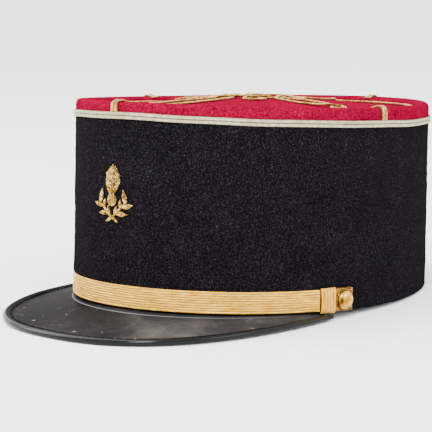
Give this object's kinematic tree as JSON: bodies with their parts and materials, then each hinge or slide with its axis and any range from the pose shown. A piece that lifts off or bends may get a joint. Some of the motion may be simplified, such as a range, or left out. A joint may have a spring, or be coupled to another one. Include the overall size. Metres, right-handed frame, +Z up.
{
  "type": "peaked kepi cap",
  "caption": "Stiff oval cap with a flat peak: dark cloth band, red crown with a rolled rim, pale seam braid, gold braid knot, gold chin strap and buttons.",
  "frame": {"origin": "middle of the cap's outline on the floor it stands on", "axes": "+Z up, -Y to the front where the peak is, +X to the wearer's left; the band leans back by about two degrees because the cap stands on its peak and on the back of its band"},
  "size_m": [0.1692, 0.2606, 0.1082],
  "materials": {
    "dark_cloth": "brushed wool cloth, near black",
    "red_cloth": "smooth wool cloth, crimson red",
    "pale_braid": "twin-ribbed braid, silver grey",
    "gold_braid": "metallic thread braid and embroidery, gold",
    "black_leather": "smooth leather, worn semi-gloss black",
    "gilded_brass": "polished gilded brass"
  },
  "bodies": {
    "root": {"band": "dark_cloth", "crown_rim": "red_cloth", "crown_top": "red_cloth", "seam_braid": "pale_braid", "ring_braid": "gold_braid", "knot": "gold_braid", "rim_braid_front": "gold_braid", "rim_braid_left": "gold_braid", "rim_braid_back": "gold_braid", "rim_braid_right": "gold_braid", "badge_flame": "gold_braid", "badge_sprays": "gold_braid", "peak": "black_leather", "peak_binding": "black_leather", "chin_strap": "gold_braid", "strap_slider_left": "gold_braid", "button_left": "gilded_brass", "strap_slider_right": "gold_braid", "button_right": "gilded_brass"}
  },
  "joints": []
}
